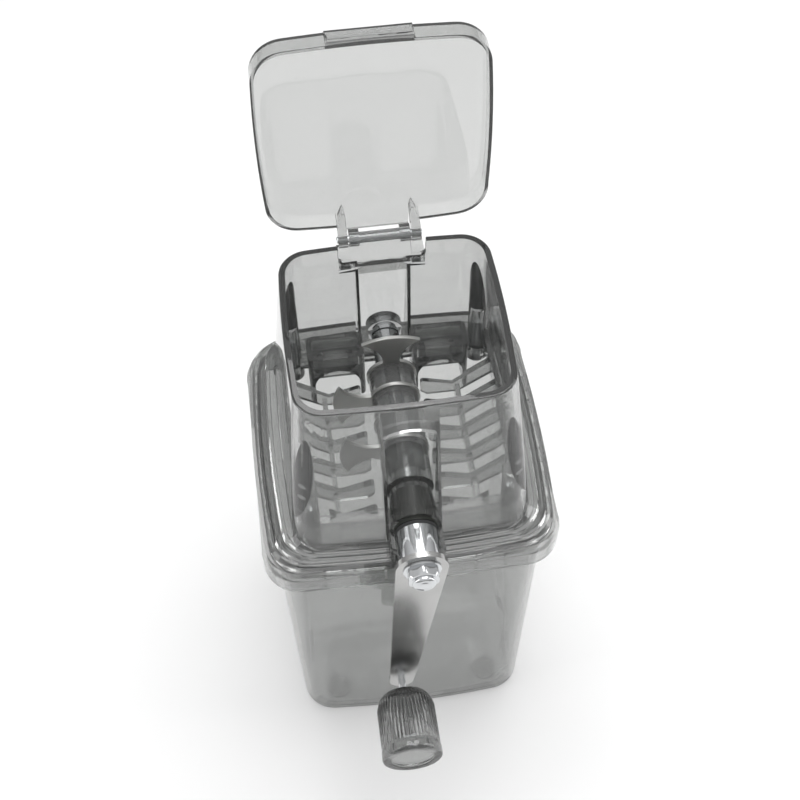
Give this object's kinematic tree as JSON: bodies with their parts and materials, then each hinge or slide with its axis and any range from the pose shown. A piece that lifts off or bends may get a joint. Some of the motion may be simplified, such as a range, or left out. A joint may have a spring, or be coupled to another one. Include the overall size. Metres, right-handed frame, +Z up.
{
  "type": "ice crusher",
  "caption": "Hand-crank ice crusher: a square tapered smoke-clear hopper with a flip-up lid sits on a matching container, with a steel crank and rotor.",
  "frame": {"origin": "centre of the container's standing face", "axes": "+Z up, -Y towards the user (crank side), +X to the user's right"},
  "size_m": [0.1292, 0.1875, 0.3396],
  "materials": {
    "smoke_clear": "gloss, transparent smoke grey",
    "smoke_dark": "gloss, transparent dark smoke",
    "stainless": "finely brushed",
    "chrome": "mirror",
    "black_nylon": "matt",
    "black_rubber": "matt"
  },
  "bodies": {
    "container": {"container_tub": "smoke_clear"},
    "head": {"hopper_housing": "smoke_clear", "ice_grate": "smoke_dark", "grate_screws": "chrome", "front_bush": "black_nylon", "rear_bush": "chrome", "hinge_pin": "chrome"},
    "crank": {"drive_shaft": "chrome", "blade_1": "stainless", "blade_2": "stainless", "blade_3": "stainless", "blade_4": "stainless", "spacer_1": "smoke_dark", "spacer_2": "smoke_dark", "spacer_3": "smoke_dark", "front_spacer": "smoke_dark", "rear_collar": "chrome", "front_seal": "black_rubber", "crank_ferrule": "chrome", "crank_arm": "stainless", "crank_nut": "chrome", "knob_pin": "chrome"},
    "knob": {"knob_grip": "smoke_clear", "knob_end_cap": "smoke_clear"},
    "lid": {"lid": "smoke_clear"}
  },
  "joints": [
    {"name": "head_lift", "type": "slide", "parent": "container", "child": "head", "axis": [0, 0, 1], "range_m": [0, 0.12]},
    {"name": "crank_turn", "type": "hinge", "parent": "head", "child": "crank", "pos_m": [0, -0.03, 0.187], "axis": [0, -1, 0], "continuous": true},
    {"name": "knob_spin", "type": "hinge", "parent": "crank", "child": "knob", "pos_m": [-0.00924, -0.1, 0.0814], "axis": [0, -1, 0], "continuous": true},
    {"name": "lid_hinge", "type": "hinge", "parent": "head", "child": "lid", "pos_m": [0, 0.0517, 0.2401], "axis": [1, 0, 0], "range_deg": [0, 94.8]}
  ]
}
